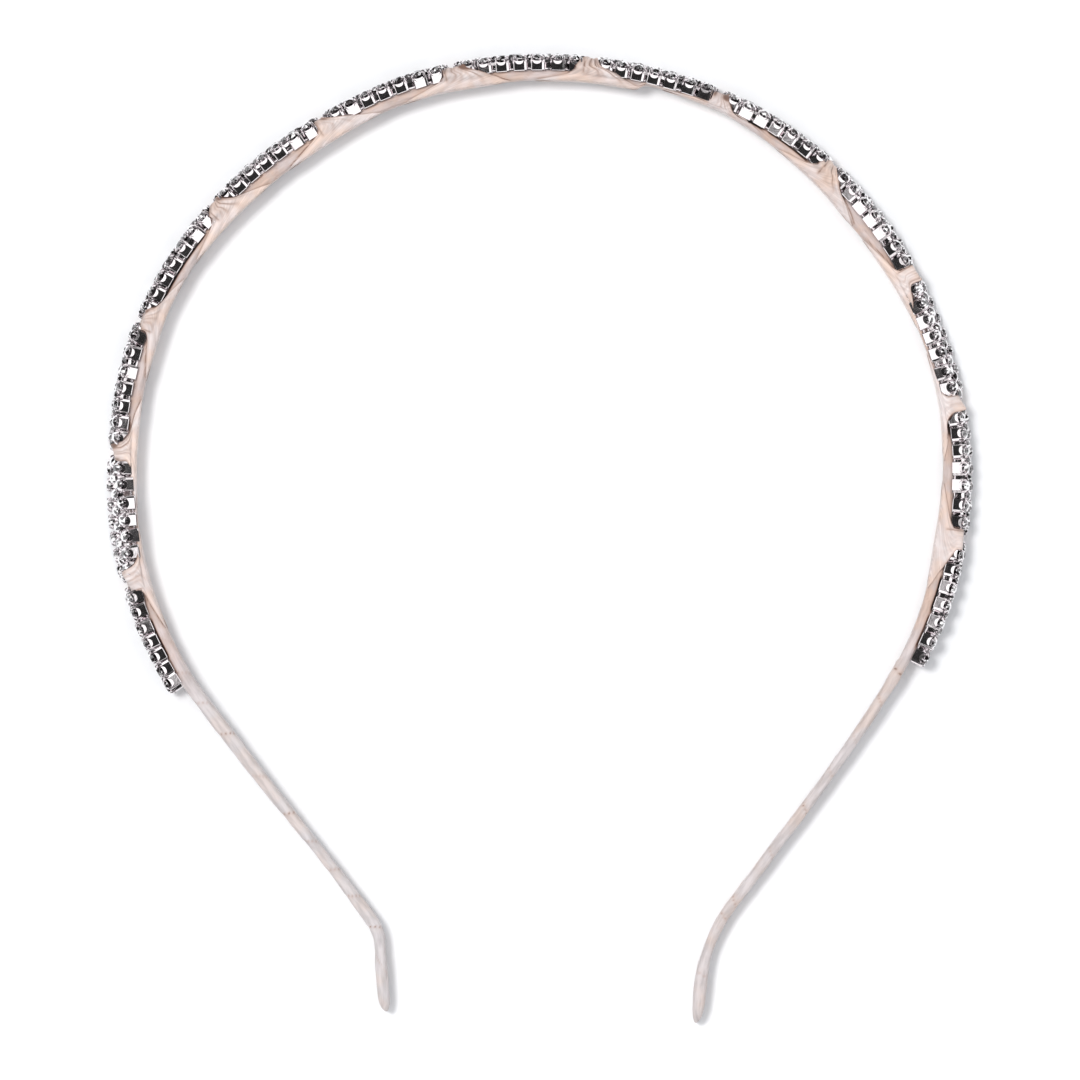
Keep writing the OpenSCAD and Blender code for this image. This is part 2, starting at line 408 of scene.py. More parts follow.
def satin_colour(tree, uv, tones, crown_tones, contrast):
    """Soft patches of peach and pearl, streaks of painted shade, painted brown shade in the creases and black
    in the gaps.
    """
    patches = noise(tree, space_in_mm(tree), PATCH_SCALE, 4)
    colour = ramp(tree, patches, list(zip(TONE_PLACES, tones)))
    crown_colour = ramp(tree, patches, list(zip(TONE_PLACES, crown_tones)))
    colour = mix_colour(tree, mesh_number(tree, "crown"), colour, crown_colour)
    # Painted shade in streaks along the threads
    streaks = noise(tree, stretched(tree, uv, STREAK_STRETCH), 1, 2)
    shade = ramp(tree, streaks, [(STREAK_DIM, (1 - contrast,) * 3), (STREAK_BRIGHT, (1, 1, 1))])
    colour = mix_colour(tree, 1, colour, shade, "MULTIPLY")
    # Painted shade: the mesh's crease number darkens the satin to brown and then to black
    crease_shade = mesh_number(tree, "crease_shade")
    for tone, factor, offset in CREASE_SHADE_TONES:
        share = arithmetic(tree, "MULTIPLY_ADD", crease_shade, factor, offset, clamp=True)
        colour = mix_colour(tree, share, colour, tone)
    return colour


def satin_relief(tree, uv):
    """Height of the threads and of the fine wrinkles."""
    threads = add_node(tree, "TexWave", {"Vector": stretched(tree, uv, THREAD_STRETCH), **THREADS})
    wrinkles = noise(tree, stretched(tree, uv, WRINKLE_STRETCH), WRINKLE_SCALE, 4, 0.6)
    return arithmetic(tree, "MULTIPLY_ADD", threads.outputs["Fac"], THREAD_RELIEF, wrinkles)


def satin(name, tones, crown_tones, contrast):
    """Blush satin, in the crown's tones where the mesh's crown number asks for them."""
    material, tree, shader = new_material(name)
    uv = add_node(tree, "UVMap").outputs["UV"]
    set_sockets(tree, shader, {
        "Base Color": satin_colour(tree, uv, tones, crown_tones, contrast),
        "Roughness": 0.42, "Specular IOR Level": 0.3, "Sheen Weight": 0.15, "Sheen Roughness": 0.4,
        "Normal": bumped(tree, satin_relief(tree, uv), strength=0.4, distance=0.1),
    })
    return material


METAL_TONES = [(0.3, (0.83, 0.77, 0.79)), (0.6, (0.98, 0.93, 0.945))]


def plated_metal():
    """Bright plating, near a mirror, with faint pressing marks and duller patches."""
    material, tree, shader = new_material("plated_metal")
    space = space_in_mm(tree)
    marks = noise(tree, space, 0.9)
    dull = add_node(tree, "MapRange", {"Value": marks, "To Min": 0.03, "To Max": 0.13})
    set_sockets(tree, shader, {
        "Base Color": ramp(tree, marks, METAL_TONES),
        "Metallic": 1, "Roughness": dull.outputs["Result"],
        "Normal": bumped(tree, noise(tree, space, 1.6, 2), strength=0.12, distance=0.05),
    })
    return material


# Painted reflections of the crystal's facets. Columns: a facet's number, its colour
FACET_REFLECTION_TONES = [
    (0, (0.03, 0.02, 0.022)), (0.36, (0.06, 0.048, 0.052)), (0.48, (0.55, 0.51, 0.53)),
    (0.6, (0.99, 0.95, 0.965)), (1, (1, 0.98, 0.99)),
]


def cut_crystal():
    """Foil-backed crystal: sharp facets with painted reflections, each as dark or light as its number says.
    """
    material, tree, shader = new_material("cut_crystal")
    set_sockets(tree, shader, {
        "Base Color": ramp(tree, mesh_number(tree, "facet_reflection"), FACET_REFLECTION_TONES),
        "Metallic": 0.85, "Roughness": 0.02, "Coat Weight": 1, "Coat Roughness": 0.01,
    })
    return material


SATIN_BAND = satin("satin_band", TAIL_TONES, CROWN_TONES, contrast=0.22)
SATIN_WRAP = satin("satin_wrap", CROWN_TONES, WRAP_TONES, contrast=0.2)
METAL = plated_metal()
CRYSTAL = cut_crystal()

# The wrapped band

BAND_STEP = 0.35
TIP_RINGS = 14
CORNER_POINTS = 6
FACE_POINTS = 10
EDGE_POINTS = 16
CORNER_RADIUS = 0.75
CORNER_MOST = 0.46
BAND_GAP = 0.22

# How the section closes at the tips: length, least share, share of the width that stays, and centre
TIP_ROUNDING = 2.8
TIP_LEAST = 0.03
TIP_WIDTH = 0.25
TIP_CENTRE = 0.36

RIPPLE = 0.04
RIPPLE_WAVES = (7, 2.2, 7)

# How far from a crossing the winding stays flat, over what length it rises, and its least share
FLAT_REACH = 6
FLAT_EASING = 3
FLAT_SHARE = 0.15

# Warmth of the right tail, and over what length the tones change at the crown's ends
RIGHT_WARMTH = 0.3
TONE_EASING = 10

# Where an edge of the winding ribbon crosses the near side. Columns: s, height of the step, slant
SEAMS = [
    (7.5, 0.05, 1.6), (13.7, 0.1, 0.5), (19.9, 0.08, 0.7), (25, 0.09, 0.6), (30.6, 0.09, 0.7),
    (36.1, 0.1, 0.5), (43.5, 0.06, 0.8), (51.8, 0.1, 0.6), (57.8, 0.07, 0.6), (63.4, 0.06, 0.7),
    (69, 0.05, 1), (88, 0.04, 1.4), (108, 0.05, 1.4), (127.5, 0.05, 1.2), (148.6, 0.06, 0.9),
    (170, 0.05, 1.3), (190.5, 0.05, 1.2), (229.5, 0.05, 1), (249.5, 0.05, 1.4), (268, 0.04, 1.2),
    (291, 0.05, 1.2), (309.5, 0.05, 1), (321.2, 0.13, 0.3), (326.5, 0.09, 0.8), (333.5, 0.05, 0.8),
    (340, 0.06, 0.6), (346.8, 0.1, 0.6), (355.5, 0.06, 0.7), (364.9, 0.08, 0.7), (367.8, 0.08, 0.4),
    (377.9, 0.06, 0.4),
]
SEAM_FADE = 3.5
SEAM_STEP = 0.15

# Painted shade: a dark line right before a seam, and the softer painted shade that leads to it
SEAM_EDGE = 0.14
SEAM_LINE_SHADE = 6.5
SEAM_SHADE = 0.7
SEAM_DIM = 2.5
SEAM_LEAD = 0.02
SEAM_REACH = (-9, 40)

# Painted shade in the narrow gap between the near cups and the band. Columns: where it begins and ends, how
# dark it is
CUP_GAP_SHADES = [
    (62.6, 67, 0.8), (65.5, 73.5, 1.3), (73, 77, 0.6), (100.3, 104, 0.9), (119.6, 134.5, 1.4),
    (138.6, 142.5, 1.35), (160, 165, 0.9), (181, 184.5, 0.6), (202, 206.5, 0.7), (208.5, 218, 0.45),
    (220.8, 228.5, 1.5), (227.5, 236.5, 1.3), (240.6, 244.5, 1.3), (260.2, 264, 0.7), (279.8, 284.5, 1.3),
    (300.4, 305, 0.8), (304.5, 311.5, 1.5), (310.5, 317.4, 1.15),
]
GAP_EASING = 1.2
GAP_LINE = 0.12
GAP_DEPTH = (0.4, 0.14)
GAP_FROM = 2
BESIDE_CUPS = 3

# Painted shadow: a thin dark line on the side of the band where the edge of a crossing wrap lies on it
EDGE_SHADOW = (0.5, 0.95)
EDGE_SHADOW_WIDTH = 0.17
SIDE_FROM = 2.75

# Rows of a half loop on the side of the band, and where the columns of its edges begin
SIDE_ROWS = slice(5, 10)
EDGE_COLUMNS = (0, 3)


def joined_corners(corners, between):
    """Rings through four rounded corners, with points on the straight stretch after each."""
    b_parts, n_parts = [], []
    for i, (b, n) in enumerate(corners):
        b_next, n_next = corners[(i + 1) % 4]
        share = np.linspace(0, 1, between[i] + 2)[1:-1]
        b_parts += [b, b[:, -1:] + (b_next[:, :1] - b[:, -1:]) * share]
        n_parts += [n, n[:, -1:] + (n_next[:, :1] - n[:, -1:]) * share]
    return np.hstack(b_parts), np.hstack(n_parts)


def band_section(s):
    """Rings of the band's section: b, n and the way round from the inner corner of the near side."""
    ends = np.minimum(s, LENGTH - s)
    cap = np.sqrt(np.clip(1 - (1 - np.clip(ends / TIP_ROUNDING, 0, 1)) ** 2, TIP_LEAST, 1))
    half = width_of(s) / 2 * (TIP_WIDTH + (1 - TIP_WIDTH) * cap)
    inside = inner_face(s)
    near, far = outer_face(s, half) - BAND_GAP, outer_face(s, -half) - BAND_GAP
    shrink = (1 - cap) * (near - inside)
    near_inside = inside + edge_lift(s) + shrink * TIP_CENTRE
    inside = inside + shrink * TIP_CENTRE
    near = near - shrink * (1 - TIP_CENTRE)
    far = far - shrink * (1 - TIP_CENTRE)
    near_r = np.minimum(CORNER_RADIUS, (near - near_inside) * CORNER_MOST)
    far_r = np.minimum(CORNER_RADIUS, (far - inside) * CORNER_MOST)
    quarter = np.linspace(0, math.pi / 2, CORNER_POINTS)

    def corner(b, n, radius, start):
        angles = quarter + start
        return b[:, None] + radius[:, None] * np.cos(angles), n[:, None] + radius[:, None] * np.sin(angles)

    corners = [
        corner(half - near_r, near_inside + near_r, near_r, -math.pi / 2),
        corner(half - near_r, near - near_r, near_r, 0),
        corner(-half + far_r, far - far_r, far_r, math.pi / 2),
        corner(-half + far_r, inside + far_r, far_r, math.pi),
    ]
    b, n = joined_corners(corners, [EDGE_POINTS, FACE_POINTS, EDGE_POINTS, FACE_POINTS])
    step = np.hypot(np.diff(b, axis=1, append=b[:, :1]), np.diff(n, axis=1, append=n[:, :1]))
    return b, n, np.cumsum(step, axis=1) - step


def seam_relief(s, way):
    """Height and painted shade of the winding ribbon's edges at each point."""
    height, crease_shade = np.zeros((2, *way.shape))
    middle = way[:, [CORNER_POINTS + EDGE_POINTS // 2]]
    rounds = np.max(way, axis=1, keepdims=True) + 0.5
    turn = (way - middle + rounds / 2) % rounds - rounds / 2
    for place, tall, slant in SEAMS:
        x = s[:, None] - place - slant * turn
        before, past = np.clip(x, SEAM_REACH[0], 0), np.clip(x, 0, SEAM_REACH[1])
        fading = tall * np.where(x > 0, np.exp(-past / SEAM_FADE), 0)
        height += fading * (1 - np.exp(-past / SEAM_STEP))
        # Painted shade: a dark line right before the edge and a softer shade leading to it
        crease_shade += tall * SEAM_LINE_SHADE * bell((x + SEAM_LEAD) / SEAM_EDGE)
        crease_shade += tall * SEAM_DIM * np.where(x < 0, np.exp(before / SEAM_SHADE), 0)
    return height, crease_shade


def shade_under_cups(s, b, n):
    """How dark the painted shade is in the narrow gap right under the near cups."""
    dark = np.zeros_like(s)
    for start, end, strength in CUP_GAP_SHADES:
        inside = np.clip(np.minimum(s - start, end - s) / GAP_EASING, 0, 1)
        dark = np.maximum(dark, strength * inside)
    below = outer_face(s, BESIDE_CUPS) - GAP_DEPTH[0] - GAP_DEPTH[1] * dark - n
    return dark * bell(np.maximum(below, 0) / GAP_LINE) * (b > GAP_FROM)


def off_segment(x, y, start, end):
    """Distance of each point from a straight stretch between two places."""
    along = np.subtract(end, start)
    share = np.clip(((x - start[0]) * along[0] + (y - start[1]) * along[1]) / np.dot(along, along), 0, 1)
    return np.hypot(x - start[0] - share * along[0], y - start[1] - share * along[1])


def shadow_beside_wraps(s, b, n, rng):
    """How dark the painted shadow is along the edges of the wraps that lie on the band's two sides."""
    dark = np.zeros_like(s)
    for crossing, fan in zip(CROSSINGS, NEAR_FANS):
        for side in (1, -1):
            rows = half_loop(crossing, fan, side)[SIDE_ROWS]
            x = side * (s - crossing)
            for column in EDGE_COLUMNS:
                places = [row[column:column + 2] for row in rows]
                away = np.min([off_segment(x, n, *ends) for ends in zip(places, places[1:])], axis=0)
                line = rng.uniform(*EDGE_SHADOW) * bell(away / EDGE_SHADOW_WIDTH)
                dark = np.maximum(dark, line * (side * b > SIDE_FROM))
    return dark


def raised(b, n, height):
    """Rings with each point moved outward, square to the ring, by its height."""
    db = np.roll(b, -1, 1) - np.roll(b, 1, 1)
    dn = np.roll(n, -1, 1) - np.roll(n, 1, 1)
    size = np.hypot(db, dn) + 1e-9
    return b + dn / size * height, n - db / size * height


def build_band():
    rng = np.random.default_rng(SEED)
    s = np.concatenate([
        np.linspace(0, TIP_ROUNDING, TIP_RINGS)[:-1],
        np.arange(TIP_ROUNDING, LENGTH - TIP_ROUNDING, BAND_STEP),
        np.linspace(LENGTH - TIP_ROUNDING, LENGTH, TIP_RINGS),
    ])
    b, n, way = band_section(s)
    height, crease_shade = seam_relief(s, way)
    ripple = slanted_waves(rng, *RIPPLE_WAVES)
    from_crossing = np.min(np.abs(s[:, None] - np.array(CROSSINGS)), axis=1)
    free = np.clip((from_crossing - FLAT_REACH) / FLAT_EASING, FLAT_SHARE, 1)[:, None]
    height = height * free + RIPPLE * free * ripple(s[:, None], way)
    all_s = s[:, None] + 0 * b
    # Painted shade from the seams, in the gap under the near cups and beside the wraps' edges
    crease_shade = np.maximum(np.clip(crease_shade * free, 0, 1), shade_under_cups(all_s, b, n))
    crease_shade = np.maximum(crease_shade, shadow_beside_wraps(all_s, b, n, rng))
    b, n = raised(b, n, height)
    points = pressed(point_at(s[:, None], n, b).reshape(-1, 3))
    sides = b.shape[1]
    last = (len(s) - 1) * sides
    faces = [*tube_faces(len(s), sides)[:, ::-1], range(sides), range(last + sides - 1, last - 1, -1)]
    uv = np.stack([all_s, way], -1).reshape(-1, 2)
    from_ends = np.minimum(s - CROWN_START, ROWS_END - s) + TONE_EASING / 2
    crown = np.clip(from_ends / TONE_EASING, 0, 1)
    crown = np.maximum(crown, RIGHT_WARMTH * (s > ROWS_END))
    layers = {"crease_shade": crease_shade, "crown": np.broadcast_to(crown[:, None], way.shape)}
    return make_piece("satin_wrapped_band", points, faces, SATIN_BAND, layers=layers, uv=uv)


# The crossing wraps: gathered ribbon, fanned over the near side and knotted between the crystals

# Shape of each wrap on the near side. Columns: left shoulder along the path and out of it,
# right shoulder likewise, left edge at the cups, right edge at the cups' middle and at their base,
# how deep the pleats are, how dark the painted shade of the fold beside the right shoulder is,
# how light the satin is by the knot and below it
NEAR_FANS = [
    (-1.1, 3, 1.9, 3.75, -1.25, 2.5, 3.2, 0.5, 0.5, 0.6, 0.55),
    (-1.1, 3.1, 1.2, 3.95, -1.25, 1.6, 2.3, 0.5, 0.9, 1, 1),
    (-0.9, 3.1, 1.5, 3.4, -1.3, 2.1, 2.9, 0.5, 0.7, 0.3, 0.5),
    (-0.4, 3.9, 1.2, 4.15, -1.6, 2.1, 3, 0.7, 0.8, 0.4, 0.75),
    (-1.1, 3.9, 0.1, 3.95, -1.3, 1.3, 3.4, 0.35, 0.7, 0.35, 0.6),
    (-1, 3.6, 1.7, 3.75, -1.5, 2.4, 4.2, 0.8, 1.1, 0, 0.5),
    (-1.1, 4.1, 0.8, 4.05, -2.3, 1.5, 3.9, 0.8, 0.6, 0.4, 0.45),
    (-0.9, 3.6, 1.3, 4.1, -1.1, 1.5, 2.4, 0.5, 1.1, 0, 0.4),
    (-0.9, 4.2, 0.3, 4.05, -2, 1.5, 2.8, 0.85, 0.4, 1, 0.4),
    (-1.1, 3.95, 1.5, 4.15, -1.3, 1.5, 3.6, 0.35, 0.15, 1, 0.7),
    (-1, 3.3, 1.2, 4.15, -1.3, 1.35, 2, 0.15, 0.2, 1, 0.7),
    (-1.2, 3.6, 1.6, 3.85, -1.4, 1.8, 3.4, 0.15, 0.15, 1, 0.45),
]
KNOT_RISE = 1.35
FAR_SHOULDER = 1.3
OVER_CUPS = 4.12
RISE_SHARE = 0.6
WRAP_ROUND = 104
WRAP_ACROSS = 48
WRAP_THICKNESS = 0.09
THREADS_ROUND = 18
TOWARD_EDGES = 0.6
LOW_SHOULDER = 1.5

# Where the pleats lie across a wrap, how they vary, how far they deepen, and how far their painted shade
# darkens and their painted highlight shines
PLEATS = 5
FIRST_PLEAT = 0.2
PLEATS_SPAN = 0.76
PLEATS_EASING = 0.8
PLEAT_SHIFT = (0.25, 0.75)
PLEAT_BEND = 0.03
PLEAT_STRENGTH = (0.3, 1)
PLEAT_WIDTH = (0.16, 0.26)
PLEAT_DEPTH = 0.3
PLEAT_SHINE = 0.35
PLEAT_SHADE_MOST = 0.85

# Along a wrap's edges runs a dark line of painted shade, its pleats run out, and it is drawn down to the band
EDGE_LINE_SHADE = 0.75
EDGE_LINE_SHADE_WIDTH = 0.13
EDGE_FLAT = 0.1
EDGE_DRAW = 1.1

# The sharp fold down the left part of the near side, with painted shade along it
FOLD_AT = -1.05
FOLD_WIDTH = 0.13
FOLD_SHADE = 0.7
FOLD_DEPTH = 0.12
FOLD_ON_SIDE = 2.2
FOLD_FROM = 0.9
FOLD_OVER = 0.5

# Painted brown shade in the folds just below the shoulders: distance in from the edge, reach, share, strength
RIGHT_SHADE_IN = 0.3
LEFT_SHADE_IN = 0.25
LEFT_SHADE_REACH = 0.35
LEFT_SHADE_SHARE = 0.7
SHOULDER_SHADE = 1.3

# On the inner face a wrap bulges over the band, and its pleats are shallow
INNER_REACH = 0.35
INNER_BULGE = 0.12
BULGE_EASING = 0.8
INNER_PLEATS = 0.35
GAP_REACH = 0.4

# Height over the seat at which the tone by the knot sets in, and over how much
KNOT_TONE_FROM = 0.2
KNOT_TONE_OVER = 0.9


def half_loop(crossing, fan, side):
    """Rows round a wrap from over the middle row to the middle of the inner face, on the near or far side.

    Columns: left edge along the path, out of it and over the middle line, the right edge likewise,
    how far the edges are drawn down to the band, and the distance over the middle line they reach.
    """
    left_s, left_n, right_s, right_n, left_cup, right_mid, right_low = fan[:7]
    knot = seat_of(crossing) + KNOT_RISE
    seat_left = outer_face(crossing + left_cup, side * BESIDE_CUPS)
    seat_right = outer_face(crossing + right_low, side * BESIDE_CUPS)
    if side < 0:
        left_n, right_n = seat_left + FAR_SHOULDER, seat_right + FAR_SHOULDER
    inside = inner_face(crossing)

    def before(s):
        """How far over the middle line an edge is: beside the cups by the knot, over them further off."""
        return BESIDE_CUPS + (OVER_CUPS - BESIDE_CUPS) * min(1, max(0, (abs(s) - 1.1) / 0.4))

    def at(share, seat):
        return inside + share * (seat - inside)

    top = max((left_n + right_n) / 2 - 0.2, knot)
    lean = 0.1 * (left_s + right_s)
    return [
        (-0.17, knot, 0, 0.17, knot, 0, 0, 0),
        (-0.24 + lean, top, 1, 0.26 + lean, top, 1, 0, 1),
        (left_s, left_n, before(left_s) - 0.8, right_s, right_n, before(right_s) - 0.6, 0, 3),
        (left_cup + 0.1, seat_left + 0.9, before(left_cup),
         right_mid, seat_right + 1, before(right_mid), 0, 3.3),
        (left_cup, seat_left + 0.2, before(left_cup) + 0.1, right_low, seat_right + 0.15, OVER_CUPS, 0, 3.3),
        (left_cup - 0.9, seat_left - 0.4, 3.5, right_low + 1.2, seat_right - 0.45, 3.85, 0.15, 3.1),
        (-4, at(0.55, seat_left), 3.3, max(6, right_low + 2.4), at(0.5, seat_right), 3.35, 0.9, 3.12),
        (-6.2, at(0.28, seat_left), 3.25, 7.3, at(0.28, seat_right), 3.25, 1, 3.08),
        (-7.6, at(0.12, seat_left), 3.12, 8.1, at(0.12, seat_right), 3.12, 1, 3.02),
        (-8, inside + 0.06, 2.9, 8.5, inside + 0.06, 2.9, 1, 2.87),
        (-7.2, inside - 0.05, 2.2, 7.9, inside - 0.05, 2.2, 1, 2.2),
        (-4.6, inside - 0.06, 0, 4.6, inside - 0.06, 0, 1, 0),
    ]


def mirrored(row):
    left, n_left, b_left, right, n_right, b_right, draw, b_edge = row
    return (-right, n_right, -b_right, -left, n_left, -b_left, draw, -b_edge)


def closed_curve(rows, count):
    """Rows of numbers round a closed loop, read smoothly at evenly spaced places."""
    rows = np.asarray(rows, float)
    size = len(rows)
    t = np.arange(count) / count * size
    i = np.floor(t).astype(int)
    u = (t - i)[:, None]
    a, b, c, d = (rows[(i + k) % size] for k in (-1, 0, 1, 2))
    return 0.5 * (2 * b + (c - a) * u + (2 * a - 5 * b + 4 * c - d) * u**2 + (3 * b - a - 3 * c + d) * u**3)


def steepness(s, n, b):
    """How steeply an edge of a wrap crosses the band, from 0 along it to 1 square to it."""
    ds, dn, db = (np.gradient(values, axis=0) for values in (s, n, b))
    return np.hypot(dn, db) / (np.hypot(np.hypot(ds, dn), db) + 1e-9)


def wrap_places(crossing, loop, t):
    """Places s, n and b of a wrap's outer face, and how far each counts as the inner face."""
    left, n_left, b_left, right, n_right, b_right, draw, b_edge = loop
    width = right - left
    from_edge = np.minimum(t, 1 - t) * width
    s = crossing + left + width * t
    over = smooth_step(np.clip(np.where(b_right > 0, t, 1 - t) / RISE_SHARE, 0, 1))
    b = np.where(b_right > 0, b_left + (b_right - b_left) * over, b_right + (b_left - b_right) * over)
    drawn = draw * np.exp(-from_edge / EDGE_DRAW)
    b = b + (b_edge - b) * np.clip(drawn, 0, 1)
    low = np.clip((seat_of(crossing) - n_left) / LOW_SHOULDER, 0, 1)
    n = n_left + (n_right - n_left) * smooth_step(t) + (inner_face(s) - inner_face(crossing)) * low
    inner = np.clip((inner_face(s) + INNER_REACH - n) / INNER_REACH, 0, 1)
    n = n - INNER_BULGE * inner * (1 - np.exp(-from_edge / BULGE_EASING))
    return s, n, b, inner


def grid_normal(points):
    """Directions out of a grid whose rows run round the band and whose columns run along it."""
    around = np.roll(points, -1, 0) - np.roll(points, 1, 0)
    across = np.gradient(points, axis=1)
    normal = np.cross(around, across)
    return normal / (np.linalg.norm(normal, axis=2, keepdims=True) + 1e-9)


def pleats(t, width, pleat_depth, rng):
    """Depth, painted crease shade and painted highlight of the pleats that run round a wrap, strongest where
    it fans out.
    """
    depth, crease_shade, shine = (np.zeros_like(t * width) for _ in range(3))
    turns = np.linspace(0, 2 * math.pi, WRAP_ROUND)[:, None]
    on_fan = np.clip((width - 0.2) / 2, 0, 1) * np.clip(1.35 - width / 14, 0.12, 1)
    for k in range(PLEATS):
        place = FIRST_PLEAT + PLEATS_SPAN * ((k + rng.uniform(*PLEAT_SHIFT)) / PLEATS) ** PLEATS_EASING
        bend = place + rng.uniform(-PLEAT_BEND, PLEAT_BEND) * np.sin(turns)
        strength = rng.uniform(*PLEAT_STRENGTH)
        x = (t - bend) * width / (rng.uniform(*PLEAT_WIDTH) * (0.6 + 0.2 * width))
        depth += PLEAT_DEPTH * pleat_depth * strength * on_fan * np.where(x < 0, bell(x), bell(x / 2))
        crease_shade += (0.15 + 1.1 * pleat_depth) * strength * on_fan * bell(1.6 * x)
        shine += PLEAT_SHINE * strength * on_fan * bell(x - 2)
    return depth, crease_shade, shine


def left_fold(ahead, above, b):
    """Depth and painted shade of the left fold, at places ahead of the crossing and above the inner face."""
    on_side = (b > FOLD_ON_SIDE) * np.clip((above - FOLD_FROM) / FOLD_OVER, 0, 1)
    x = (ahead - FOLD_AT) / FOLD_WIDTH
    depth = FOLD_DEPTH * on_side / (1 + np.exp(np.clip(3 * x, -30, 30)))
    return depth, FOLD_SHADE * on_side * np.where(x < 0, bell(x / 2), bell(x))


def shoulder_fold_shade(t, width, over_shoulder, b_right, shoulder_shade):
    """Painted brown shade of the folds along both edges, just below the right shoulder on the near side."""
    reach = 0.25 + 0.5 * shoulder_shade**2
    by_shoulder = bell((over_shoulder + 0.3) / (reach + 0.2)) * (b_right > 1)
    on_right = bell(((1 - t) * width - RIGHT_SHADE_IN) / reach)
    on_left = LEFT_SHADE_SHARE * bell((t * width - LEFT_SHADE_IN) / LEFT_SHADE_REACH)
    return SHOULDER_SHADE * shoulder_shade * by_shoulder * np.clip(on_right + on_left, 0, 1)


def wrap_surface(crossing, fan, rng):
    """Grid of one wrap's outer face: points, normals, painted crease shade, lightness with painted
    highlights, and the way across it.
    """
    near, far = half_loop(crossing, fan, 1), half_loop(crossing, fan, -1)
    table = closed_curve(near + [mirrored(row) for row in far[-2:0:-1]], WRAP_ROUND)
    loop = [column[:, None] for column in table.T]
    left, n_left, b_left, right, n_right, b_right = loop[:6]
    width = right - left
    u = np.linspace(0, 1, WRAP_ACROSS)[None, :]
    t = (1 - TOWARD_EDGES) * u + TOWARD_EDGES * (1 - np.cos(math.pi * u)) / 2
    s, n, b, inner = wrap_places(crossing, loop, t)
    points = point_at(s, n, b)
    normal = grid_normal(points)

    right_shoulder = fan[3]
    pleat_depth, shoulder_shade, light_knot, light_low = fan[7:]
    depth, crease_shade, shine = pleats(t, width, pleat_depth, rng)
    fold_depth, fold_line_shade = left_fold(s - crossing, n - inner_face(s), b)
    crease_shade = np.clip(crease_shade + fold_line_shade, 0, PLEAT_SHADE_MOST)
    from_left = t * steepness(left, n_left, b_left)
    from_right = (1 - t) * steepness(right, n_right, b_right)
    edge = np.minimum(from_left, from_right) * width
    flattened = (1 - np.exp(-edge / EDGE_FLAT)) * (1 - (1 - INNER_PLEATS) * inner)
    points = points - normal * ((depth + fold_depth) * flattened)[..., None]
    # Painted shade: a dark line along the edges, brown in the folds by the right shoulder and dark in the gap
    # under the cups
    crease_shade = np.maximum(crease_shade, EDGE_LINE_SHADE * bell(edge / EDGE_LINE_SHADE_WIDTH) * np.clip(width / 2, 0, 1))
    crease_shade = np.maximum(crease_shade, shoulder_fold_shade(t, width, n_right - right_shoulder, b_right, shoulder_shade))
    under = shade_under_cups(s, b, n) * bell((1 - t) * width / GAP_REACH)
    crease_shade = np.maximum(np.clip(crease_shade, 0, 1), under)
    by_knot = np.clip((n - seat_of(crossing) - KNOT_TONE_FROM) / KNOT_TONE_OVER, 0, 1)
    # Lightness by the knot, with the painted highlights beside the pleats
    light = np.clip(light_low + (light_knot - light_low) * by_knot + shine, 0, 1)
    return points, normal, crease_shade, light, t * width


def both_faces(outer, inner):
    """A grid on the outer face of a wrap with one on its inner face, which runs back across."""
    return np.concatenate([outer, inner[:, ::-1]], axis=1)


def build_wrap(number, crossing, fan):
    rng = np.random.default_rng(SEED + number)
    outer, normal, crease_shade, light, across = wrap_surface(crossing, fan, rng)
    points = pressed(both_faces(outer, outer - normal * WRAP_THICKNESS).reshape(-1, 3))
    rows, columns = crease_shade.shape
    sides = 2 * columns
    i, j = np.meshgrid(np.arange(rows), np.arange(sides), indexing="ij")
    k, m = (j + 1) % sides, (i + 1) % rows
    faces = np.stack([i * sides + j, m * sides + j, m * sides + k, i * sides + k], -1).reshape(-1, 4)
    # On a wrap the crown number carries its lightness with the painted highlights beside the pleats, and the
    # crease number its painted shade
    layers = {"crease_shade": both_faces(crease_shade, crease_shade), "crown": both_faces(light, light)}
    around = np.broadcast_to(np.linspace(0, THREADS_ROUND, rows)[:, None], (rows, columns))
    uv = np.stack([around, across], -1)
    uv = both_faces(uv, uv).reshape(-1, 2)
    return make_piece(f"gathered_wrap_{number:02d}", points, faces, SATIN_WRAP, layers=layers, uv=uv)


dress(build_band(), "band_ribbon", "wrapped_band")
for number, (crossing, fan) in enumerate(zip(CROSSINGS, NEAR_FANS), 1):
    wrap = dress(build_wrap(number, crossing, fan), "wrap_ribbon", f"ribbon_wrap_{number:02d}")

# The crystal rows

# Degrees from straight up at which a near cup's wall mirrors a dark, bright, grey or shaded part of the room
TONES = {
    "B": [(6, 18), (49, 58)],
    "W": [(29, 40)],
    "G": [(22.8, 23.2), (44.6, 44.9)],
    "S": [(21.2, 21.6), (45.5, 45.8)],
}
TILT_REACH = 10
TILT_COST = 0.05
LOOSE_TILT = 2.2
LOOSE_TURN = 2.5
OUTER_TURN = 0.5
FAR_TILT = 1.2
FAR_LOOSE_TILT = 0.4
STEEPEST = 0.5
SLOPE_STEP = 0.1

CUP_HALF = 1.1
CUP_FLOOR = -0.28
CUP_FLARE = (0.045, 0.085)
WALL_LOW = 0.72
WALL_RISE = 0.42
LIP_DEPTH = 0.44
LIP_RISE = 0.1
LIP_SLOPE = 0.5
SHEET_METAL = 0.09

# One side of a cup, seen from above. Columns: way along the side, distance in from its face.
# The flat wall lies between two bars that turn a little inward, the broader one at the end
WALL_ENDS = (-0.9, 0.68)
NARROW_BAR = (-1, 0.06)
BROAD_BAR = (1, 0.1)
WALL_STEPS = 8

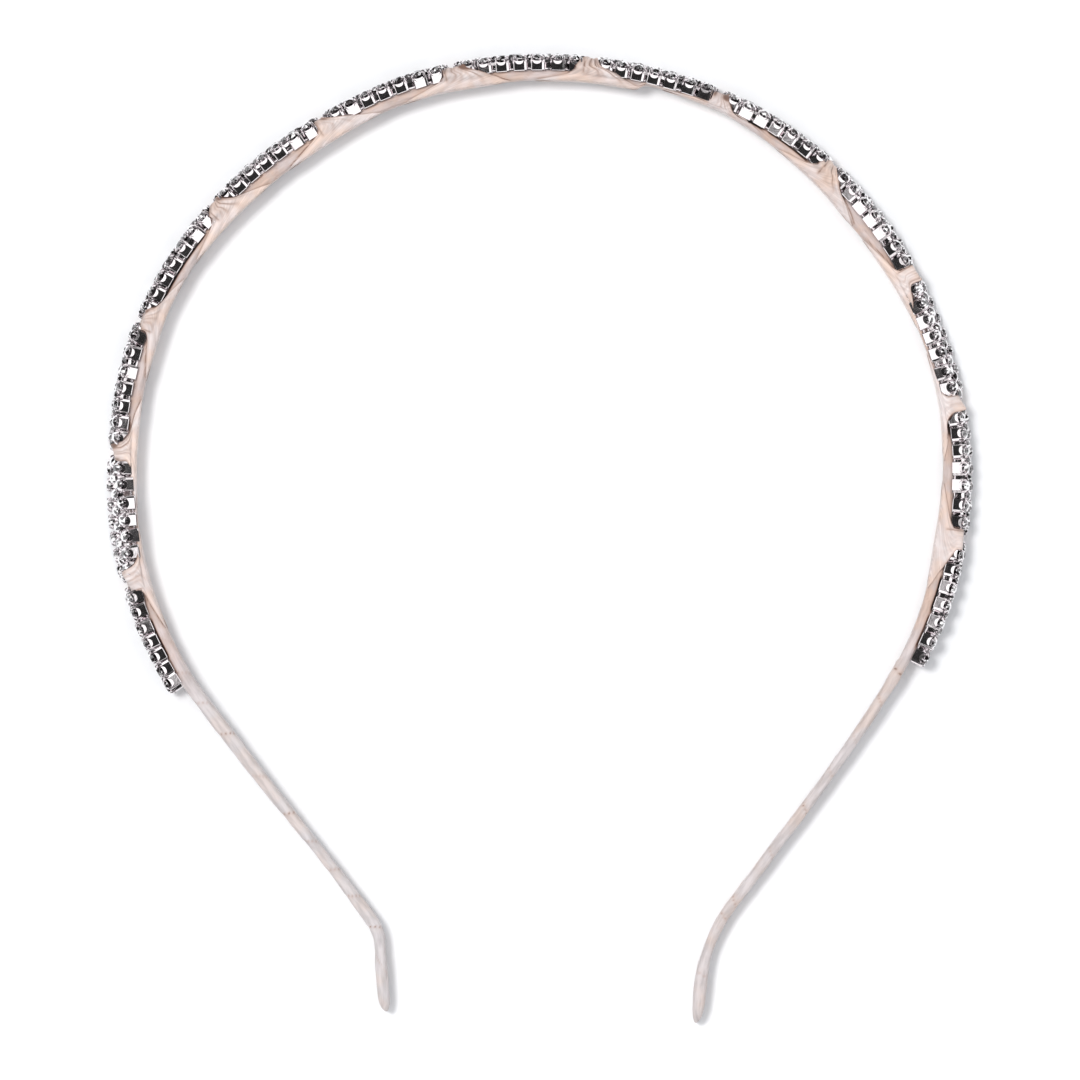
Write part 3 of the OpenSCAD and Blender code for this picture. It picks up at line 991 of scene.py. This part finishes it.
# Columns: distance of a claw's middle from the cup's axis, height, width, thickness
CLAW = [
    (1.4, 0.9, 0.36, 0.16), (1.42, 1.35, 0.36, 0.16), (1.4, 1.6, 0.34, 0.16), (1.22, 1.86, 0.3, 0.16),
    (0.9, 1.94, 0.22, 0.1),
]
CLAW_INSET = 0.08

# Sections of a claw and of a link, as shares of their width and thickness
CLAW_SECTION = ((0.5, -0.5), (0.5, 0.2), (0, 0.5), (-0.5, 0.2), (-0.5, -0.5))
LINK_SECTION = ((-1, 0), (1, 0), (1, 0.8), (0.6, 1), (-0.6, 1), (-1, 0.8))


def cup_outline():
    """Points round a square cup, and how far each is from the middle of its wall, as a share."""
    middle, half = sum(WALL_ENDS) / 2, (WALL_ENDS[1] - WALL_ENDS[0]) / 2
    side_points = [NARROW_BAR] + [(v, 0) for v in np.linspace(*WALL_ENDS, WALL_STEPS + 1)] + [BROAD_BAR]
    points, along = [], []
    for side in range(4):
        turn = side * math.pi / 2
        spin = np.array([[math.cos(turn), -math.sin(turn)], [math.sin(turn), math.cos(turn)]])
        for v, inward in side_points:
            points.append(spin @ (CUP_HALF - inward, v))
            along.append(min(1, abs(v - middle) / half))
    return np.array(points), np.array(along)


def loft(rings):
    """Rings of points joined by quads, the first and the last closed by one face each."""
    sides = len(rings[0])
    points = np.concatenate(rings)
    faces = tube_faces(len(rings), sides).tolist()
    faces.append(list(range(sides - 1, -1, -1)))
    faces.append(list(range(len(points) - sides, len(points))))
    return points, faces


def joined(parts):
    points, faces, start = [], [], 0
    for part_points, part_faces in parts:
        points.append(part_points)
        faces += [[i + start for i in face] for face in part_faces]
        start += len(part_points)
    return np.concatenate(points), faces


def prong(x_sign, y_sign):
    """One claw at a corner of the cup: a flat bar that stands up and bends over the stone."""
    out = np.array([x_sign, y_sign, 0]) / math.sqrt(2)
    side = np.array([-y_sign, x_sign, 0]) / math.sqrt(2)
    rings = []
    for i, (reach, height, width, thickness) in enumerate(CLAW):
        ahead = np.array(CLAW[min(i + 1, len(CLAW) - 1)][:2]) - np.array(CLAW[max(i - 1, 0)][:2])
        ahead = ahead / np.linalg.norm(ahead)
        face = out * ahead[1] - np.array([0, 0, 1]) * ahead[0]
        middle = out * (reach - CLAW_INSET) + np.array([0, 0, height])
        rings.append(np.array([middle + side * width * x + face * thickness * z for x, z in CLAW_SECTION]))
    if x_sign * y_sign < 0:
        rings = [ring[::-1] for ring in rings]
    return loft(rings)


def cup_template():
    """One cup with its claws: pressed walls with a scalloped lip, open at the top."""
    outline, along = cup_outline()

    def ring(inset, height):
        shrink = np.broadcast_to((CUP_HALF - inset) / CUP_HALF, len(outline))
        return np.column_stack([outline * shrink[:, None], np.broadcast_to(height, len(outline))])

    scallop = along**2.4
    wall_top = WALL_LOW + WALL_RISE * scallop
    lip = WALL_LOW + LIP_DEPTH + LIP_RISE * scallop
    lip_inset = (lip - WALL_LOW) * LIP_SLOPE
    cup = loft([
        ring(0.12, CUP_FLOOR - 0.02),
        ring(-CUP_FLARE[0], CUP_FLOOR),
        ring(0, CUP_FLOOR + CUP_FLARE[1]),
        ring(0, wall_top),
        ring((wall_top - WALL_LOW) * LIP_SLOPE + 0.005, wall_top + 0.005),
        ring(lip_inset, lip),
        ring(lip_inset + SHEET_METAL, lip - 0.02),
        ring(lip_inset + SHEET_METAL + 0.1, 0.3),
    ])
    return joined([cup] + [prong(x, y) for x in (-1, 1) for y in (-1, 1)])


# The stone's rings of corners. Columns: how many, radius, height, turn in steps of a corner
STONE_RINGS = [(8, 0.52, 2.12, 0.5), (8, 0.74, 1.92, 0), (16, 0.93, 1.6, 0), (16, 0.93, 1.53, 0)]
STONE_POINT = 0.65
CROWN_FACES = 33


def stone_template():
    """A round brilliant: table, star and kite facets, upper girdle facets, girdle and a pointed back."""
    points = []
    for count, radius, height, offset in STONE_RINGS:
        angles = (np.arange(count) + offset) * 2 * math.pi / count
        points += zip(radius * np.cos(angles), radius * np.sin(angles), [height] * count)
    points.append((0, 0, STONE_POINT))
    table, middle, girdle, under, back = 0, 8, 16, 32, 48
    faces = [[table + i for i in range(8)]]
    for i in range(8):
        after = (i + 1) % 8
        faces.append([table + i, middle + after, table + after])
        faces.append([table + i, middle + i, girdle + 2 * i + 1, middle + after])
        faces.append([middle + i, girdle + 2 * i, girdle + 2 * i + 1])
        faces.append([middle + i, girdle + (2 * i - 1) % 16, girdle + 2 * i])
    for i in range(16):
        after = (i + 1) % 16
        faces.append([girdle + i, under + i, under + after, girdle + after])
        faces.append([under + i, back, under + after])
    return np.array(points), faces


def row_across(s, side):
    """Distance of a row over the middle line, bowed out in each swell and squeezed at its ends."""
    i = int(min(len(SWELLS) - 1, np.searchsorted(CROSSINGS, s, "right")))
    share = (s - SWELL_STARTS[i]) / (SWELLS[i][0] - SWELL_STARTS[i])
    bow = max(0, math.sin(math.pi * min(1, max(0, share)))) ** SWELL_EASING
    return side * (ROW_SQUEEZE + (ROW_SPREAD - ROW_SQUEEZE) * bow)


def row_axes(s, side, extra_tilt, extra_turn):
    """Base point and axes of a cup: along the row, across it and out of the band, as rows."""
    heading = float(path_at(s)[2])
    b = row_across(s, side)
    tilt = math.radians(roll_of(s) + ROW_LEAN * b / LEAN_REACH + extra_tilt)
    slope = (row_across(s + SLOPE_STEP, side) - row_across(s - SLOPE_STEP, side)) / (2 * SLOPE_STEP)
    turn = math.atan(max(-STEEPEST, min(STEEPEST, slope))) + math.radians(extra_turn)
    ahead = np.array([math.cos(heading), math.sin(heading), 0])
    outward = np.array([-math.sin(heading), math.cos(heading), 0])
    upward = np.array([0, 0, 1])
    out = outward * math.cos(tilt) + upward * math.sin(tilt)
    up = upward * math.cos(tilt) - outward * math.sin(tilt)
    along = ahead * math.cos(turn) + up * math.sin(turn)
    across = ahead * math.sin(turn) - up * math.cos(turn)
    base = point_at(s, outer_face(s, b), b) + out * PLATE_HEIGHT / 2
    return base, np.stack([along, across, out])


def wall_tilt(s, tone, turn):
    """The small tilt at which a near wall mirrors the part of the room that its tone asks for."""

    def cost(tilt):
        wall = -row_axes(s, 1, tilt, turn)[1][1]
        angle = 2 * math.degrees(math.acos(min(1, wall[2])))
        miss = min(abs(angle - min(high, max(low, angle))) for low, high in TONES[tone])
        return miss + TILT_COST * abs(tilt)

    return min(np.linspace(-TILT_REACH, TILT_REACH, 101), key=cost)


def cup_list(side, rng):
    """Place, base point and axes of every cup of a row."""
    cups = []
    for start, (end, _, _, tones) in zip(SWELL_STARTS, SWELLS):
        if side:
            places = [start + share * (end - start) for share in OUTER_PLACES]
        else:
            margin = LAST_MARGIN if end == ROWS_END else MIDDLE_MARGIN
            # After the first swell, one cup more than in the outer rows
            count = len(OUTER_PLACES) + (start > ROWS_START)
            places = np.linspace(start + MIDDLE_MARGIN, end - margin, count)
        for k, s in enumerate(places):
            turn = rng.normal(0, LOOSE_TURN) * (OUTER_TURN if side else 1)
            tilt = rng.normal(0, LOOSE_TILT)
            if side == 1:
                tilt = wall_tilt(s, tones[k], turn)
            elif side == -1:
                tilt = FAR_TILT + FAR_LOOSE_TILT * abs(tilt)
            cups.append((s, *row_axes(s, side, tilt, turn)))
    return cups


LINK_WIDTH = 0.5
LINK_THICKNESS = 0.14
LINK_HEIGHT = -0.2
LINK_INTO_CUP = 0.05
LINK_PINCH = 0.35
LINK_RINGS = 3

# A link longer than this runs under a crossing wrap, with more rings, and bends with the band
LONG_LINK = 2
LONG_LINK_RINGS = 7
LONG_LINK_BEND = 0.03


def link_between(first, second):
    """A small flat link from one cup to the next."""
    a = first[1] + first[2][0] * (CUP_HALF - LINK_INTO_CUP)
    b = second[1] - second[2][0] * (CUP_HALF - LINK_INTO_CUP)
    is_long = np.linalg.norm(b - a) > LONG_LINK
    rings = []
    for u in np.linspace(0, 1, LONG_LINK_RINGS if is_long else LINK_RINGS):
        axes = first[2] * (1 - u) + second[2] * u
        centre = a * (1 - u) + b * u
        if is_long:
            s = first[0] * (1 - u) + second[0] * u
            centre = centre + axes[2] * (LONG_LINK_BEND * (s - first[0]) * (second[0] - s))
        half = LINK_WIDTH / 2 * (1 - LINK_PINCH * math.sin(math.pi * u))
        rings.append(np.array([
            centre + axes[1] * x * half + axes[2] * (LINK_HEIGHT + z * LINK_THICKNESS)
            for x, z in LINK_SECTION
        ]))
    return loft(rings)


def placed(template, cup):
    points, faces = template
    _, base, axes = cup
    return base + points @ axes, faces


# How light the facets' painted reflections are: their spread, each stone's own shift,
# the share that the pointed back keeps, and what each degree of roll toward the viewer adds
FACET_SPREAD = (0.45, 0.4)
STONE_SHIFT = (0.04, 0.1)
BACK_SHARE = (0.2, 0.8)
ROLL_MOST = 8
ROLL_SHIFT = 0.025
ROLL_BACK = 0.08


def facet_reflections(cups, faces, rng):
    """A number from dark to light for each facet of each stone, for its painted reflection."""
    values = rng.beta(*FACET_SPREAD, (len(cups), faces))
    to_viewer = np.array([min(roll_of(cup[0]), ROLL_MOST) for cup in cups])
    values += (rng.normal(*STONE_SHIFT, len(cups)) + ROLL_SHIFT * to_viewer)[:, None]
    values[:, CROWN_FACES:] *= (rng.uniform(*BACK_SHARE, len(cups)) + ROLL_BACK * to_viewer)[:, None]
    return np.clip(values, 0, 1).ravel().astype(np.float32)


def build_row(name, side):
    rng = np.random.default_rng(SEED + 40 + side)
    cups = cup_list(side, rng)
    cup, stone = cup_template(), stone_template()
    metal = [placed(cup, c) for c in cups] + [link_between(a, b) for a, b in zip(cups, cups[1:])]
    settings = make_piece(f"{name}_row_settings", *joined(metal), METAL, smooth=False)
    dress(settings, "crystal_setting", f"{name}_crystal_row")
    stones = joined([placed(stone, c) for c in cups])
    crystals = make_piece(f"{name}_row_crystals", *stones, CRYSTAL, smooth=False)
    # Painted reflections: each facet's number sets how dark or light it is
    shade = crystals.data.attributes.new("facet_reflection", "FLOAT", "FACE")
    shade.data.foreach_set("value", facet_reflections(cups, len(stone[1]), rng))
    dress(crystals, "crystal")


for name, side in ("near", 1), ("middle", 0), ("far", -1):
    build_row(name, side)

# Floor, light and camera

FLOOR_TONES = [(0.3, (0.93, 0.93, 0.93)), (0.7, (0.95, 0.95, 0.95))]

SUN_DIRECTION = (0.235, -0.145, -1)

# Columns: degrees from straight up, brightness. First what the metal and the crystal mirror,
# then the soft light from overhead on the ribbon and the floor
ROOM = [
    (0, 0.02), (20, 0.02), (25, 1.3), (43, 1.3), (46.5, 0.05), (58, 0.05), (61, 1), (67, 1),
    (71, 0.15), (90, 0.25),
]
OVERHEAD = [(0, 1.22), (38, 1.18), (60, 0.14), (90, 0.1)]
OVERHEAD_TINT = (0.97, 0.99, 1.03)
BACKDROP = (0.97, 0.97, 0.97)

FRAME_WIDTH = 0.1674
FRAME_CENTRE = (0.000085, -0.000355)
CAMERA_HEIGHT = 2.4
NEAR_SIDE = 0.007
SENSOR = 36


def build_floor():
    material, tree, shader = new_material("pale_floor")
    space = add_node(tree, "TexCoord").outputs["Object"]
    tone = ramp(tree, noise(tree, space, 3), FLOOR_TONES)
    set_sockets(tree, shader, {"Base Color": tone, "Roughness": 0.9, "Specular IOR Level": 0.1})
    points = [(-600, -600, 0), (600, -600, 0), (600, 600, 0), (-600, 600, 0)]
    floor = make_piece("floor", points, [(0, 1, 2, 3)], material, smooth=False)


def build_sun():
    light = bpy.data.lights.new("key", "SUN")
    light.energy = 1.55
    light.angle = math.radians(11)
    sun = add_object("key", light)
    sun.rotation_mode = "QUATERNION"
    sun.rotation_quaternion = Vector(SUN_DIRECTION).to_track_quat("-Z", "Y")
    sun.visible_glossy = False


def build_room():
    world = bpy.data.worlds.new("studio")
    bpy.context.scene.world = world
    world.use_nodes = True
    tree = world.node_tree
    tree.nodes.clear()
    direction = add_node(tree, "TexCoord").outputs["Generated"]
    split = add_node(tree, "SeparateXYZ", {0: direction})
    angle = arithmetic(tree, "ARCCOSINE", split.outputs["Z"])
    share = arithmetic(tree, "DIVIDE", angle, math.pi / 2, clamp=True)
    in_mirrors = ramp(tree, share, [(place / 90, (value,) * 3) for place, value in ROOM])
    tinted = [(place / 90, [value * tint for tint in OVERHEAD_TINT]) for place, value in OVERHEAD]
    ray = add_node(tree, "LightPath").outputs
    tone = mix_colour(tree, ray["Is Glossy Ray"], ramp(tree, share, tinted), in_mirrors)
    tone = mix_colour(tree, ray["Is Camera Ray"], tone, BACKDROP)
    background = add_node(tree, "Background", {"Color": tone})
    add_node(tree, "OutputWorld", {0: background.outputs[0]})


def build_camera():
    data = bpy.data.cameras.new("camera")
    data.sensor_width = SENSOR
    data.lens = SENSOR * (CAMERA_HEIGHT - NEAR_SIDE) / FRAME_WIDTH
    data.clip_start, data.clip_end = 0.05, 10
    camera = add_object("camera", data)
    camera.location = (*FRAME_CENTRE, CAMERA_HEIGHT)
    bpy.context.scene.camera = camera


build_floor()
build_sun()
build_room()
build_camera()
bpy.context.scene.view_settings.view_transform = "Standard"
